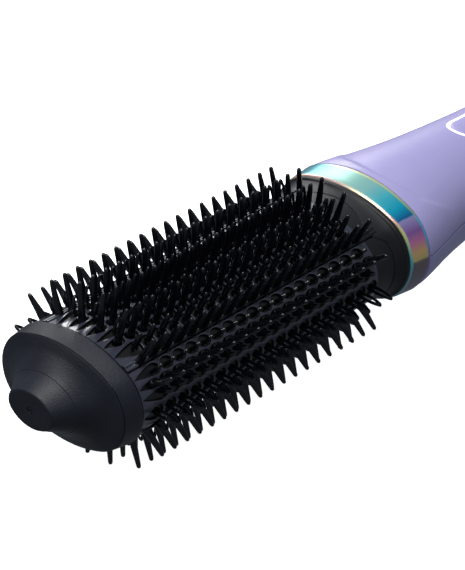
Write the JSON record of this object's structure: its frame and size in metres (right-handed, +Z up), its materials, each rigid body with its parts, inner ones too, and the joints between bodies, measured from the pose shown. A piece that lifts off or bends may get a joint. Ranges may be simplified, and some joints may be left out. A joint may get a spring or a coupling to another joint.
{
  "type": "hot air brush",
  "caption": "Hand-held hot air styling brush: oval bristle barrel with spikes and short blades, trim ring, and a rounded handle with lit power button, fan, heater and swivelling cord gland.",
  "frame": {"origin": "centre of the flat end face of the tip cap", "axes": "+X along the barrel and handle, from the tip towards the cord gland; +Z up, out of the power button; +Y across"},
  "size_m": [0.398, 0.076, 0.0658],
  "materials": {
    "cap_plastic": "fine-grained satin",
    "panel_plastic": "satin",
    "bristle_plastic": "glossy",
    "collar_plastic": "satin",
    "handle_plastic": "satin",
    "trim_metal": "iridescent film",
    "light_diffuser": "frosted",
    "dark_plastic": "moulded",
    "core_metal": "satin",
    "mica": "layered",
    "heater_wire": "drawn wire",
    "ceramic": "fired",
    "screw_steel": "zinc plated",
    "circuit_board": "solder mask",
    "switch_plastic": "moulded",
    "capacitor_sleeve": "shrink sleeve",
    "motor_steel": "drawn",
    "copper_winding": "enamelled wire",
    "fan_plastic": "moulded",
    "mount_rubber": "matte",
    "filter_steel": "woven"
  },
  "bodies": {
    "brush": {"tip_cap": "cap_plastic", "cap_screw": "screw_steel", "cap_seal": "mount_rubber", "front_bulkhead": "dark_plastic", "barrel_core": "core_metal", "bristle_panel_top": "panel_plastic", "bristle_panel_left": "panel_plastic", "bristle_panel_bottom": "panel_plastic", "bristle_panel_right": "panel_plastic", "spike_strip_01": "bristle_plastic", "spike_strip_02": "bristle_plastic", "spike_strip_03": "bristle_plastic", "spike_strip_04": "bristle_plastic", "spike_strip_05": "bristle_plastic", "spike_strip_06": "bristle_plastic", "spike_strip_07": "bristle_plastic", "spike_strip_08": "bristle_plastic", "spike_strip_09": "bristle_plastic", "spike_strip_10": "bristle_plastic", "spike_strip_11": "bristle_plastic", "spike_strip_12": "bristle_plastic", "spike_strip_13": "bristle_plastic", "spike_strip_14": "bristle_plastic", "spike_strip_15": "bristle_plastic", "spike_strip_16": "bristle_plastic", "heater_frame": "mica", "heater_coil": "heater_wire", "mica_sleeve": "mica", "heater_holder": "ceramic", "thermostat": "switch_plastic", "thermal_fuse": "ceramic", "temperature_sensor": "copper_winding", "collar_flange": "collar_plastic", "trim_ring": "trim_metal", "neck_mount": "dark_plastic", "handle_top": "handle_plastic", "handle_bottom": "handle_plastic", "case_screws": "screw_steel", "air_duct": "dark_plastic", "light_ring": "light_diffuser", "control_board": "circuit_board", "tact_switches": "switch_plastic", "indicator_leds": "light_diffuser", "power_board": "circuit_board", "board_capacitor": "capacitor_sleeve", "motor_mount": "mount_rubber", "motor_can": "motor_steel", "motor_stator": "copper_winding", "fan_shroud": "dark_plastic", "intake_grille": "dark_plastic", "swivel_socket": "dark_plastic"},
    "power_button": {"power_button": "handle_plastic"},
    "mode_button": {"mode_button": "handle_plastic"},
    "rotor": {"motor_shaft": "screw_steel", "motor_rotor": "motor_steel", "impeller": "fan_plastic"},
    "filter": {"filter_cover": "handle_plastic", "filter_mesh": "filter_steel"},
    "cord_swivel": {"swivel_gland": "mount_rubber"}
  },
  "joints": [
    {"name": "power_press", "type": "slide", "parent": "brush", "child": "power_button", "axis": [0, 0, -1], "range_m": [0, 0.0008], "stiffness_N_per_m": 800},
    {"name": "mode_press", "type": "slide", "parent": "brush", "child": "mode_button", "axis": [0, 0, -1], "range_m": [0, 0.0008], "stiffness_N_per_m": 800},
    {"name": "fan_spin", "type": "hinge", "parent": "brush", "child": "rotor", "pos_m": [0.345, 0, 0], "axis": [1, 0, 0], "continuous": true},
    {"name": "filter_slide", "type": "slide", "parent": "brush", "child": "filter", "axis": [1, 0, 0], "range_m": [0, 0.024]},
    {"name": "cord_turn", "type": "hinge", "parent": "brush", "child": "cord_swivel", "pos_m": [0.373, 0, 0], "axis": [1, 0, 0], "continuous": true}
  ]
}
